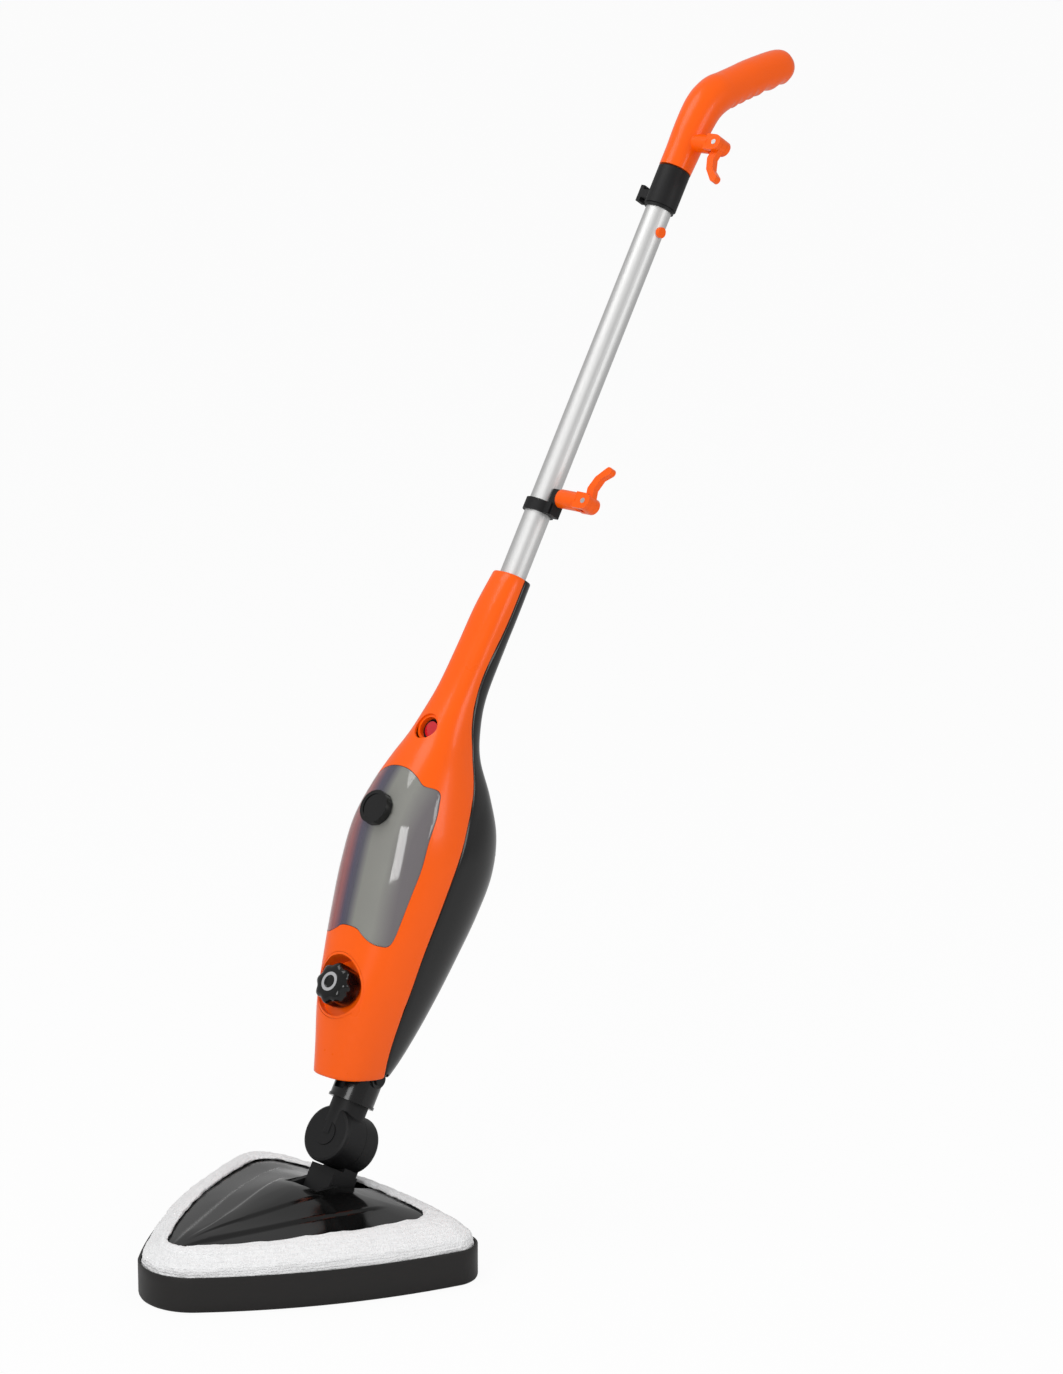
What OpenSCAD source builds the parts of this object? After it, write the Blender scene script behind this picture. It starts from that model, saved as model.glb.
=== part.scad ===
// Upright steam mop with a triangular floor head, a carpet glider and a washable pad.
// World frame: Z up, -Y is the tip of the head, X is across; the origin is on the floor
// under the pitch hinge. The pole leans back, and its own frame has z along the pole.

/* [Stance] */
// Height of the pitch hinge above the floor
pivot_z = 42; // [40:0.5:46]
// How far the pole leans back at rest
lean = 31; // [20:1:40]

/* [Carpet glider] */
// Height of the tray wall
tray_h = 33; // [28:1:36]
// Thickness of the tray wall
tray_wall = 2.2; // [1.6:0.1:3]
// Thickness of the tray floor
tray_floor = 2.6; // [2:0.1:3.5]
// Centre of the rear corners across the head
corner_x = 129; // [115:1:145]
// Centre of the rear corners, rearwards
corner_y = 35; // [28:1:44]
// Radius of the rear corners
corner_r = 26.5; // [25:0.5:32]
// Centre of the tip's round, forwards
tip_y = 148; // [130:1:165]
// Radius of the tip
tip_r = 51; // [45:1:58]
// Radius of the long sides
side_r = 545; // [480:5:700]
// Radius of the rear side
rear_r = 523; // [460:5:700]

/* [Floor head] */
// Thickness of the pad under the head
pad_t = 6; // [4:0.5:8]
// Thickness of the pad round the sides
pad_side = 8; // [6:0.5:9]
// Height of the cover's rim
rim_z = 41; // [38:1:44]
// Height of the cover at its crown
crown_z = 60; // [56:1:64]
// Wall of the head cover
cover_wall = 2.4; // [1.8:0.1:3]
// Inside width of the hinge yoke
yoke_w = 32.4; // [31:0.1:36]

/* [Swivel] */
// Width of the square swivel post
post_w = 31; // [28:0.5:34]
// Radius of the pitch axle
axle_r = 5; // [4:0.1:6]
// Height of the roll joint up the pole
drum_z = 62; // [58:0.5:66]
// Radius of the roll joint
drum_r = 26.6; // [24:0.2:28]
// Thickness of the front half of the roll joint
drum_front = 26; // [22:0.5:28]
// Radius of the roll axle
roll_r = 6; // [5:0.1:7]
// Radius of the neck
neck_r = 17; // [15:0.5:18]
// Wall of the neck sleeve
sleeve_wall = 3.6; // [3:0.1:4.5]
// Running clearance of the hinges
run_gap = 0.05; // [0.02:0.01:0.1]

/* [Body] */
// Wall of the body shells
shell_wall = 2.3; // [1.8:0.1:2.8]
// Wall of the water tank
tank_wall = 2; // [1.5:0.1:2.8]
// Depth of the water tank behind its front face
tank_depth = 46; // [36:1:50]
// Radius of the steam knob
knob_r = 19.5; // [17:0.5:21]
// Height of the steam knob up the pole
knob_z = 186; // [182:1:190]
// Radius of the tank cap
cap_r = 15.5; // [13:0.5:17]
// Height of the tank cap up the pole
cap_z = 344; // [338:1:348]
// Radius of the round switch
switch_r = 9.5; // [8:0.5:10.5]
// Height of the switch up the pole
switch_z = 431; // [426:1:436]
// Radius of the boiler
boiler_r = 23; // [19:0.5:25]
// Length of the boiler
boiler_len = 92; // [70:1:100]

/* [Pole and handle] */
// Outside radius of the aluminium tube
tube_r = 12.3; // [11.8:0.1:12.5]
// Wall of the tube
tube_wall = 1.5; // [1:0.1:2]
// Lower end of the tube up the pole
tube_z0 = 542; // [540:1:550]
// Lower end of the handle collar up the pole
collar_z = 960; // [900:5:1010]
// Length of the handle collar
collar_len = 40; // [34:1:46]
// Radius of the grip
grip_r = 17.5; // [16:0.5:19]
// Place of the lower cord hook up the pole
hook_z = 659; // [640:1:700]
// Reach of the hook arms from the pole's axis
hook_reach = 55; // [46:1:60]
// Thickness of the hooks' barrels
hook_r = 8.7; // [7.5:0.1:9.5]

/* [Hidden] */
$fn = 48;

orange = [1, 0.39, 0.06];
black = [0.09, 0.09, 0.09];
grey = [0.3, 0.3, 0.3];
steel = [0.75, 0.76, 0.78];

seat = 0.3;                  // gap between pieces that only rest together
pole_w = 70.4;               // the pole's axis in front of the hinge's plane
neck_y = -13.2;              // axis of the neck, sleeve and steam hose
drum_gap = -2.8;             // plane between the two halves of the roll joint
edge_in = tray_wall + pad_side + seat + 1;    // inset of the head cover from the tray
pad_z = tray_floor + seat;   // underside of the pad
base_z = pad_z + pad_t + seat;                // underside of the head
sleeve_r = neck_r + run_gap + sleeve_wall;
sleeve_z0 = 96;
button_z = 123;              // neck release button
button_boss = 8;
sleeve_z1 = 140;
collar_r = tube_r + 3;
tube_z1 = collar_z + collar_len - 4;
arm_z = collar_z + collar_len + 30;           // upper hook arm
yoke_wall = 5;
yoke_x = yoke_w / 2 + yoke_wall;
eye_r = 7.6;                 // round end of the fingers

// ---------- shared shapes ----------

module pole() translate([0, 0, pivot_z]) rotate([-lean, 0, 0]) children();

// A cylinder along -y, towards the front of the pole, from y = from to y = to
module front_cyl(r, from, to) translate([0, from, 0]) rotate([90, 0, 0]) cylinder(r=r, h=from - to);

// A cylinder along x
module side_cyl(r, from, to) translate([from, 0, 0]) rotate([0, 90, 0]) cylinder(r=r, h=to - from);

function lerp(a, b, t) = a + (b - a) * t;
function clamp01(t) = min(1, max(0, t));

// Value of column c of a table at height z, on a smooth curve through its rows
function at(table, z, c, i=1) =
    i >= len(table) - 1 || table[i][0] >= z
        ? let (a = table[max(i - 2, 0)], b = table[i - 1], d = table[i], e = table[min(i + 1, len(table) - 1)],
               t = clamp01((z - b[0]) / (d[0] - b[0])), h = d[0] - b[0],
               m0 = (d[c] - a[c]) / max(d[0] - a[0], 1) * h, m1 = (e[c] - b[c]) / max(e[0] - b[0], 1) * h)
          (2*t*t*t - 3*t*t + 1) * b[c] + (t*t*t - 2*t*t + t) * m0
              + (3*t*t - 2*t*t*t) * d[c] + (t*t*t - t*t) * m1
        : at(table, z, c, i + 1);

// A closed skin over rings that all have the same number of points
module skin(rings) {
    n = len(rings[0]);
    m = len(rings);
    polyhedron(
        points=[for (r = rings) each r],
        faces=[
            [for (i = [0:n - 1]) i],
            for (j = [0:m - 2], i = [0:n - 1])
                [j*n + i, (j+1)*n + i, (j+1)*n + (i+1) % n, j*n + (i+1) % n],
            [for (i = [n - 1:-1:0]) (m-1)*n + i]
        ],
        convexity=6
    );
}

// ---------- outline of the floor head ----------

// Where two circles round a and b meet, on the left of the way from a to b
function meet(a, ra, b, rb) =
    let (d = norm(b - a), e = (b - a) / d, x = (ra*ra - rb*rb + d*d) / (2*d), h = sqrt(max(ra*ra - x*x, 0)))
    a + x*e + h*[-e[1], e[0]];
function heading(p) = atan2(p[1], p[0]);
function arc(c, r, a0, a1, n) = [for (i = [0:n - 1]) let (a = lerp(a0, a1, i / n)) c + r*[cos(a), sin(a)]];

// Right half of the outline, tip to rear: o = [tip centre, tip r, corner x, corner y, corner r, side r, rear r]
function half_outline(o, d) =
    let (t = [0, -o[0]], k = [o[2], o[3]], s = meet(t, o[5] - o[1], k, o[5] - o[4]),
         q = [0, o[3] - sqrt(pow(o[6] - o[4], 2) - o[2]*o[2])],
         a = heading(t - s), b = heading(k - s), c = heading(k - q))
    concat(arc(t, o[1] - d, -90, a, 5), arc(s, o[5] - d, a, b, 7),
           arc(k, o[4] - d, b, c, 6), arc(q, o[6] - d, c, 90, 5), [q + [0, o[6] - d]]);
function outline(o, d=0) =
    let (h = half_outline(o, d), n = len(h))
    concat(h, [for (i = [n - 2:-1:1]) [-h[i][0], h[i][1]]]);

tray = [tip_y, tip_r, corner_x, corner_y, corner_r, side_r, rear_r];
// The pad's inner edge on the cover
window = [tip_y + 6, 20, corner_x - 39, corner_y - 19, 20, side_r - 90, rear_r - 70];
crown = [0, -6];

module slab(d, z0, z1) translate([0, 0, z0]) linear_extrude(z1 - z0) polygon(outline(tray, d));

function sag(p, z) = z - 0.03 * max(0, -p[1] - 70);
function lift(points, z) = [for (p = points) [p[0], p[1], sag(p, z)]];
function flat(points, z) = [for (p = points) [p[0], p[1], z]];
// Ring between the edge outline, inset d, and the window
function band_ring(d, t, z) =
    let (a = outline(tray, d), b = outline(window)) lift([for (i = [0:len(a) - 1]) lerp(a[i], b[i], t)], z);
// Ring inside the window, drawn in towards the crown
function crown_ring(k, z) = lift([for (p = outline(window)) crown + (p - crown) * k], z);

// ---------- body ----------

// Height up the pole, half width, half depth, depth of the centre in front of the hinge plane
sections = [
    [100, 25, 24, 30], [132, 32, 36.1, 31], [171, 40, 47.4, 35.6], [212, 48, 53.5, 38.9],
    [253, 54, 59.1, 42.5], [294, 57, 65.3, 45.8], [333, 56, 68.8, 49], [368, 49, 63.4, 52.9],
    [398, 40, 48.9, 61.4], [422, 31, 34.2, 69.9], [441, 26, 27.6, 73.3], [472, 21, 21.2, 75.2],
    [513, 19.5, 19, 74.5], [553, 19, 18.2, 73.2], [590, 17, 16.2, 70.4]
];
// Height up the pole, depth of the joint between the shells
seam = [[100, 14], [125, 20.4], [163, 30.6], [202, 40], [240, 48.6], [283, 53.5], [317, 55.3],
        [355, 55.6], [391, 56], [426, 64], [445, 71], [465, 75], [494, 77], [534, 73], [590, 69.5]];
body_z0 = 107;
body_z1 = 590;
round_e = 2.6;               // roundness of the sections: 2 is an ellipse
foot_slope = 0.42;           // the body's lower edge rises to the rear

function se(v) = sign(v) * pow(abs(v), 2 / round_e);
// Point of the body's surface at height z and angle a, in by t
function wall_point(z, a, t) =
    [(at(sections, z, 1) - t) * se(cos(a)), -(at(sections, z, 3) + (at(sections, z, 2) - t) * se(sin(a))), z];
// The same with the slanted lower edge
function body_point(z, a, t) =
    let (p = wall_point(z, a, t), k = foot_slope * clamp01(1 - (z - body_z0) / 75),
         z1 = z + k * (p[1] + 57), q = wall_point(z1, a, t))
    [q[0], q[1], z + k * (q[1] + 57)];
function seam_angle(z) =
    let (v = (at(seam, z, 1) - at(sections, z, 3)) / at(sections, z, 2)) sign(v) * asin(pow(abs(v), round_e / 2));
// The inside closes on the tube at the top
function inner_point(z, a) =
    let (p = body_point(z, a, shell_wall), k = clamp01((z - body_z1 + 12) / 8), r = tube_r + 0.15)
    [lerp(p[0], r * cos(a), k), lerp(p[1], -pole_w - r * sin(a), k), p[2]];

ring_heights = concat([for (z = [body_z0:14:380]) z], [for (z = [388:11:450]) z], [463, 480, 500, 525, 552, 574, 582, 590]);

// A shell over the angles from the seam: side 1 is the front, -1 the rear
module half_shell(side, n=16) {
    gap = 0.15;
    skin([
        for (z = ring_heights)
            let (s = seam_angle(z), g = side * asin(gap / at(sections, z, 1)), a0 = s + g,
                 a1 = side > 0 ? 180 - s - g : -180 - s - g)
            let (i0 = side > 0 ? n : 0, di = -side)
            concat([for (i = [i0:di:n - i0]) body_point(z, lerp(a0, a1, i / n), 0)],
                   [for (i = [n - i0:-di:i0]) inner_point(z, lerp(a0, a1, i / n))])
    ]);
}

module body_solid(t=0, z0=body_z0, z1=body_z1, n=28)
    skin([for (z = [z0:(z1 - z0) / 16:z1 + 0.01]) [for (i = [n - 1:-1:0]) body_point(z, 360 * i / n, t)]]);

// Half outline of the tank from the front: across, and up the pole
tank_half = [[0, 239], [10, 238], [17, 234], [25, 230.5], [34, 230], [41, 235], [45, 259], [49, 302],
             [48.4, 330], [46.5, 349], [43, 366], [39, 377], [30, 376.5], [22, 382], [12, 386.5], [0, 388]];
function grown(p, d) = let (c = [0, 305], v = p - c) c + v * (1 + d / norm(v));
function tank_outline(d=0) =
    concat([for (p = tank_half) grown(p, d)],
           [for (i = [len(tank_half) - 2:-1:1]) let (p = grown(tank_half[i], d)) [-p[0], p[1]]]);
module tank_prism(d, y0, y1) translate([0, y0, 0]) rotate([90, 0, 0]) linear_extrude(y0 - y1) polygon(tank_outline(d));
tank_back = -at(sections, cap_z, 3) - at(sections, cap_z, 2) + tank_depth;
module tank_body(t, d, n=14)
    intersection() {
        skin([
            for (z = [224 + t:12.8:392])
                let (c = at(sections, z, 3), v = (-tank_back - c + (t > 0 ? t : 0)) / at(sections, z, 2),
                     s = sign(v) * asin(pow(min(abs(v), 0.9), round_e / 2)))
                [for (i = [n:-1:0]) wall_point(z, lerp(s, 180 - s, i / n), t)]
        ]);
        tank_prism(d, 0, -150);
    }
filler_y = -at(sections, cap_z, 3) - at(sections, cap_z, 2) - 6;      // outer end of the filler neck
filler_r = cap_r - 2.6;
cap_y = filler_y + 5.5;      // rim of the cap, clear of the tank
outlet = [10, tank_back, 248];

// ---------- floor head ----------

module glider_tray() color(black) difference() {
    union() {
        slab(4.5, 0, 1.2);
        slab(1.8, 1.2, 3.4);
        slab(0, 3.4, tray_h);
    }
    slab(tray_wall + 1.8, tray_floor, 3.5);
    slab(tray_wall, 3.5, tray_h + 1);
    // Slots that let the steam through to the carpet
    for (y = [-110:30:40], x = [-60:40:60])
        if (abs(x) < 70 - 0.45 * max(0, -y - 20) && norm([x, y]) > 24)
            translate([x - 11, y - 2.5, -1]) cube([22, 5, tray_floor + 2]);
}

module mop_pad() color("white") difference() {
    skin([
        flat(outline(tray, 7), pad_z), flat(outline(tray, edge_in - pad_side), pad_z + 3),
        flat(outline(tray, edge_in - pad_side), tray_h - 1), band_ring(edge_in - pad_side, 0.12, tray_h + 9),
        band_ring(edge_in, 0.25, rim_z + 9), band_ring(edge_in, 0.55, rim_z + 13),
        band_ring(edge_in, 0.9, rim_z + 14), band_ring(edge_in, 1, rim_z + 12.6),
        band_ring(edge_in, 0.96, rim_z + 11.8), band_ring(edge_in, 0.5, rim_z + 8.4),
        band_ring(edge_in, 0.12, rim_z + 4.6), flat(outline(tray, edge_in - seat), rim_z - 2),
        flat(outline(tray, edge_in - seat), base_z - seat)
    ]);
}

module cover_skin(t, z0)
    skin([
        flat(outline(tray, edge_in + t), z0), flat(outline(tray, edge_in + t), rim_z - 2 - t),
        band_ring(edge_in + t, 0.12, rim_z + 4 - t), band_ring(edge_in, 0.5, rim_z + 7.6 - t),
        band_ring(edge_in, 1, rim_z + 11.2 - t), crown_ring(0.7, crown_z - 4 - t),
        crown_ring(0.42, crown_z - 1 - t), crown_ring(0.15, crown_z - t)
    ]);
module head_cover() color(black) difference() {
    cover_skin(0, base_z);
    cover_skin(cover_wall, base_z - 1);
    translate([-yoke_x - 0.4, -24.4, 20]) cube([2 * yoke_x + 0.8, 78, 60]);
}

post_x = [for (x = [-1, 1], y = [-96, 24]) [x * (y < 0 ? 22 : 84), y]];
module head_base() color(black) difference() {
    union() {
        slab(edge_in + cover_wall + seat, base_z, base_z + 3);
        for (p = post_x) translate([p[0], p[1], base_z + 2.5]) cylinder(r=4, h=rim_z - base_z + 2 - (p[1] < 0 ? 3 : 0));
        // Seat of the yoke
        for (x = [-1, 1]) translate([x * (yoke_x - 4), 36, base_z + 2.5]) cylinder(r=4, h=5.5);
    }
    for (p = post_x) translate([p[0], p[1], base_z - 1]) cylinder(r=1.6, h=rim_z - base_z - 3);
    for (y = [-60:20:0], x = [-20, 0, 20]) translate([x, y - 8, base_z - 1]) cylinder(r=1.8, h=6);
}

chamber_z = base_z + 3;
chamber_h = 7;
module steam_chamber() color(grey) difference() {
    union() {
        translate([-32, -80, chamber_z]) cube([64, 84, chamber_h]);
        translate([26, -12, chamber_z + chamber_h - 1]) cylinder(r=4.4, h=6);
    }
    translate([-29.5, -77.5, chamber_z - 1]) cube([59, 79, chamber_h - 1.5]);
    translate([26, -12, chamber_z + 3]) cylinder(r=2.5, h=12);
}
module chamber_seal() color("firebrick") difference() {
    translate([-33.5, -81.5, chamber_z]) cube([67, 87, 1.5]);
    translate([-32.1, -80.1, chamber_z - 1]) cube([64.2, 84.2, 4]);
}

yoke_z0 = chamber_z + chamber_h + 0.2;
module hinge_yoke() color(black) difference() {
    union() {
        translate([-yoke_x, -24, yoke_z0 + 1]) cube([2 * yoke_x, 3, 45.5]);
        for (x = [-yoke_x, yoke_w / 2]) {
            translate([x, -24, yoke_z0]) cube([yoke_wall, 46, 26]);
            translate([x, -24, yoke_z0]) cube([yoke_wall, 70, 6]);
            translate([x, -24, yoke_z0 + 20]) cube([yoke_wall, 26, 26.5]);
            translate([x, 0, pivot_z]) side_cyl(axle_r + 5, 0, yoke_wall);
        }
        translate([-yoke_x, 38, yoke_z0]) cube([2 * yoke_x, 8, 3]);
    }
    translate([0, 0, pivot_z]) side_cyl(axle_r, -yoke_x - 1, yoke_x + 1);
}
module pitch_axle() color(steel) translate([0, 0, pivot_z]) difference() {
    side_cyl(axle_r, -yoke_x, yoke_x + 3);
    side_cyl(axle_r - 2, -yoke_x + 4, yoke_x + 4);
    translate([0, 0, 0]) cylinder(r=2, h=axle_r + 1);
}
// Carries the steam from the end of the axle down to the chamber
module steam_elbow() color(grey) translate([0, 0, pivot_z]) difference() {
    union() {
        side_cyl(axle_r + 2, yoke_x + 0.2, yoke_x + 9);
        translate([26, -12, chamber_z + chamber_h + 5.2 - pivot_z]) cylinder(r=3.6, h=10);
        hull() {
            translate([yoke_x + 5, -2, -2]) sphere(r=4.4, $fn=16);
            translate([26 + 1, -12, chamber_z + chamber_h + 14 - pivot_z]) sphere(r=4, $fn=16);
        }
    }
    side_cyl(axle_r, yoke_x - 1, yoke_x + 3.05);
    side_cyl(axle_r - 2, yoke_x, yoke_x + 7);
}
module head_screws() color(steel) for (p = post_x) translate([p[0], p[1], base_z + 0.2]) {
    cylinder(r=1.55, h=18);
    cylinder(r=1.55, h=0.5);
}

// ---------- swivel ----------

module drum(r, y0, y1, round=3)
    rotate([90, 0, 0]) translate([0, 0, -y1]) rotate_extrude()
        polygon([[0, 0], [r - round, 0], [r - 0.3 * round, 0.3 * round], [r, round], [r, y1 - y0], [0, y1 - y0]]);

module swivel_post() color(black) pole() difference() {
    union() {
        side_cyl(post_w / 2, -post_w / 2, post_w / 2);
        translate([-post_w / 2, -post_w / 2, 0]) cube([post_w, post_w, drum_z - drum_r - 0.6]);
        translate([-post_w / 2 + 2, drum_gap + 0.3, 0]) cube([post_w - 4, post_w / 2 - drum_gap - 0.6, drum_z]);
        translate([0, 0, drum_z]) drum(drum_r, drum_gap + 0.15, post_w / 2);
    }
    side_cyl(axle_r + run_gap, -post_w, post_w);
    cylinder(r=4, h=drum_z - roll_r);
    translate([0, 0, drum_z]) front_cyl(roll_r + 0.02, 40, -40);
    translate([0, 0, drum_z]) front_cyl(11, 40, post_w / 2 - 4);
}
module roll_axle() color(steel) pole() translate([0, 0, drum_z]) difference() {
    union() {
        front_cyl(roll_r, post_w / 2 - 2, drum_gap - drum_front + 6);
        front_cyl(9, post_w / 2 - 1.5, post_w / 2 - 4);
    }
    front_cyl(roll_r - 2, post_w / 2 - 6, drum_gap - drum_front + 8);
    cylinder(r=2, h=drum_r, center=true);
}
module ring(r_in, r_out, h) difference() {
    cylinder(r=r_out, h=h);
    translate([0, 0, -1]) cylinder(r=r_in, h=h + 2);
}
module roll_seal() color("firebrick") pole() translate([0, drum_gap + 0.1, drum_z]) rotate([90, 0, 0])
    translate([0, 0, 0.1]) ring(roll_r + 4, roll_r + 6, 1.9);
module post_cap() color(black) pole() translate([0, 0, drum_z]) front_cyl(10.7, post_w / 2 - 0.2, post_w / 2 - 1.4);

// ---------- neck ----------

module neck_joint() color(black) pole() difference() {
    union() {
        translate([0, 0, drum_z]) mirror([0, 1, 0]) drum(drum_r, -drum_gap + 0.15, -drum_gap + drum_front, 3);
        translate([0, neck_y, drum_z]) cylinder(r=neck_r, h=sleeve_z1 - 2 - drum_z);
    }
    translate([0, 0, drum_z]) front_cyl(drum_r + 0.4, 30, drum_gap - 0.15);
    translate([0, 0, drum_z]) front_cyl(roll_r + run_gap, 0, drum_gap - drum_front + 5);
    translate([0, 0, drum_z]) front_cyl(roll_r + 6.3, drum_gap + 1, drum_gap - 2);
    translate([0, 0, drum_z]) front_cyl(11.3, drum_gap - drum_front + 2.4, drum_gap - drum_front - 1);
    translate([0, neck_y, drum_z]) cylinder(r=4.2, h=100);
    // Grooves for the seal ring and the button's bolt
    translate([0, neck_y, sleeve_z1 - 9]) ring(neck_r - 2.1, neck_r + 2, 3);
    translate([neck_r - 5, neck_y - 5.6, button_z - 5.6]) cube([8, 11.2, 11.2]);
}
module drum_cap() color(black) pole() translate([0, 0, drum_z])
    front_cyl(11, drum_gap - drum_front + 2.2, drum_gap - drum_front - 0.6);
module neck_oring() color("firebrick") pole() translate([0, neck_y, sleeve_z1 - 8.8])
    ring(neck_r - 2, neck_r + 0.02, 2.6);
module neck_sleeve() color(black) pole() difference() {
    translate([0, neck_y, 0]) union() {
        translate([0, 0, sleeve_z0]) cylinder(r=sleeve_r, h=sleeve_z1 - sleeve_z0);
        translate([0, 0, sleeve_z0]) cylinder(r=sleeve_r + 0.9, h=2.6);
        translate([0, 0, button_z]) side_cyl(button_boss, neck_r + 1, sleeve_r + 2.2);
    }
    translate([0, neck_y, sleeve_z0 - 1]) cylinder(r=neck_r + run_gap, h=80);
    translate([-9, neck_y - sleeve_r - 2, 104]) cube([13, 12, 9]);
    translate([0, neck_y, button_z]) side_cyl(5 + run_gap, 0, 40);
}
module neck_button() color(black) pole() translate([0, neck_y, button_z]) {
    side_cyl(5, neck_r + 0.4, sleeve_r + 4.2);
    side_cyl(4, neck_r - 1.5, neck_r + 1);
}

// ---------- body ----------

module foot_cut() {
    translate([0, neck_y, 60]) cylinder(r=sleeve_r + seat, h=sleeve_z1 + 0.5 - 60);
    translate([0, neck_y, button_z]) side_cyl(button_boss + seat, 0, sleeve_r + 8);
}

// The moulded shells are free-form, so each is kept as one fine mesh
module moulded() resize([0, 0, 0]) children();

module front_shell() color(orange) pole() moulded() difference() {
    union() {
        half_shell(1);
        for (z = [board_z + 6, board_z + 34])
            translate([0, 0, z]) front_cyl(2.2, board_y - 0.1, 1 - at(sections, z, 3) - at(sections, z, 2), $fn=16);
    }
    foot_cut();
    tank_prism(seat + 0.1, -30, -150);
    translate([0, 0, knob_z]) front_cyl(29.2, -40, -140);
    translate([0, 0, switch_z]) front_cyl(switch_r + 3.2, -76, -140);
}
trigger_z = 520;
screw_spots = [[-24, 166], [24, 166], [-36, 232], [36, 232], [-38, 350], [38, 350]];
// At the outside of the rear shell over a screw
module screw_at(p) let (w = at(sections, p[1], 1), v = 1 - pow(abs(p[0]) / w, round_e))
    translate([p[0], -at(sections, p[1], 3) + at(sections, p[1], 2) * pow(v, 1 / round_e), p[1]]) children();
module rear_shell() color(black) pole() moulded() difference() {
    union() {
        half_shell(-1);
        for (p = screw_spots) screw_at(p) front_cyl(3.8, -1, -12, $fn=20);
    }
    for (p = screw_spots) screw_at(p) {
        front_cyl(1.55, 8, -20, $fn=16);
        front_cyl(3, 8, -5.2, $fn=20);
    }
    foot_cut();
    translate([0, 0, 160]) front_cyl(6.1, 60, -10);
    translate([-8.3, -65, trigger_z - 15.3]) cube([16.6, 30, 30.6]);
}
function foot_ring(t, n=28) =
    [for (i = [0:n - 1]) let (p = body_point(body_z0 + 2, 360 * i / n, t)) [p[0], p[1] * sqrt(1 + foot_slope * foot_slope)]];
module bottom_cover() color(black) pole() difference() {
    translate([0, 0, body_z0 + 2 + foot_slope * 57]) rotate([atan(foot_slope), 0, 0])
        linear_extrude(2.4) polygon(foot_ring(shell_wall + seat));
    foot_cut();
    translate([-40, neck_y, 90]) cube([80, 60, 60]);
}
module shell_screws() color(steel) pole() for (p = screw_spots) screw_at(p) {
    front_cyl(1.5, -4, -22);
    front_cyl(2.8, -3, -5);
}
module cord_gland() color(black) pole() translate([0, 0, 160]) difference() {
    union() {
        front_cyl(6, 14, 0);
        front_cyl(8, 15.5, 14);
    }
    front_cyl(3.6, 20, -2);
}

// ---------- water ----------

module water_tank() color([0.45, 0.42, 0.47, 0.5]) pole() difference() {
    moulded() difference() {
        union() {
            tank_body(0, 0);
            translate([0, 0, cap_z]) front_cyl(filler_r, filler_y + 18, filler_y);
        }
        tank_body(tank_wall, -tank_wall);
        translate([0, 0, cap_z]) front_cyl(filler_r - 2.2, filler_y + 22, filler_y - 5);
        translate(outlet) front_cyl(3.6, 5, -5, $fn=24);
    }
    translate([0, 0, cap_z]) front_cyl(filler_r - 2, filler_y + 22, filler_y - 5);
}
module tank_cap() color(black) pole() translate([0, 0, cap_z]) {
    difference() {
        union() {
            front_cyl(cap_r, cap_y, filler_y - 2.4);
            for (a = [0:30:330]) rotate([0, a, 0]) translate([cap_r - 0.5, 0, 0]) front_cyl(1, cap_y, filler_y - 1.6);
        }
        front_cyl(filler_r + 0.1, cap_y + 1, filler_y - 0.3);
        front_cyl(cap_r - 3.5, filler_y - 1.6, filler_y - 7);
    }
    front_cyl(filler_r - 2.1, filler_y + 8, filler_y - 1);
}
module cap_seal() color("firebrick") pole() translate([0, filler_y + 10.1, cap_z]) rotate([90, 0, 0])
    ring(filler_r - 5, filler_r - 2.05, 2);
module outlet_seal() color("firebrick") pole() translate(outlet + [0, 2.3, 0]) rotate([90, 0, 0]) ring(3.7, 6, 2.2);
module water_filter() color("ivory") pole() translate(outlet - [0, tank_wall + 0.2, 0]) rotate([90, 0, 0]) ring(3.8, 5.4, 14);

// ---------- steam ----------

module knob_dish() color(orange) pole() intersection() {
    translate([0, 0, knob_z]) difference() {
        front_cyl(29, -52, -100);
        front_cyl(26.8, -72, -101);
        front_cyl(10, -40, -80);
        difference() {
            front_cyl(30, -40, -70);
            front_cyl(9, -41, -71);
        }
    }
    body_solid(0);
}
knob_y = -73.5;              // back of the knob
module steam_knob() color(black) pole() translate([0, 0, knob_z]) difference() {
    union() {
        front_cyl(knob_r - 1.6, knob_y, knob_y - 22);
        for (a = [0:45:315]) rotate([0, a, 0]) translate([knob_r - 6, 0, 0]) front_cyl(6, knob_y - 5, knob_y - 20);
        front_cyl(3, knob_y + 30, knob_y);
    }
    front_cyl(9, knob_y - 21, knob_y - 30);
}
module knob_ring() color(steel) pole() translate([0, knob_y - 21, knob_z]) rotate([90, 0, 0]) ring(6, 8.9, 1.6);
valve_y = -50;
module steam_valve() color("goldenrod") pole() difference() {
    union() {
        translate([-11, valve_y, knob_z - 10]) cube([22, 46, 20]);
        translate([0, 0, knob_z]) front_cyl(8.8, valve_y + 1, -71.8);
    }
    translate([0, 0, knob_z]) front_cyl(3 + run_gap, -30, -90);
    translate([0, neck_y, knob_z - 11]) cylinder(r=3.9, h=22);
}
boiler_z = knob_z + 10 + 12;
boiler_y = -26;
module boiler() color(steel) pole() difference() {
    union() {
        translate([0, boiler_y, boiler_z]) cylinder(r=boiler_r, h=boiler_len);
        translate([0, neck_y, knob_z - 6]) cylinder(r=3.8, h=30);
        translate([0, boiler_y, boiler_z + boiler_len - 1]) cylinder(r=3, h=9);
    }
    translate([0, boiler_y, boiler_z + 2.5]) cylinder(r=boiler_r - 2.5, h=boiler_len - 5);
    translate([0, neck_y, knob_z - 7]) cylinder(r=2.2, h=26);
}
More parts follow.
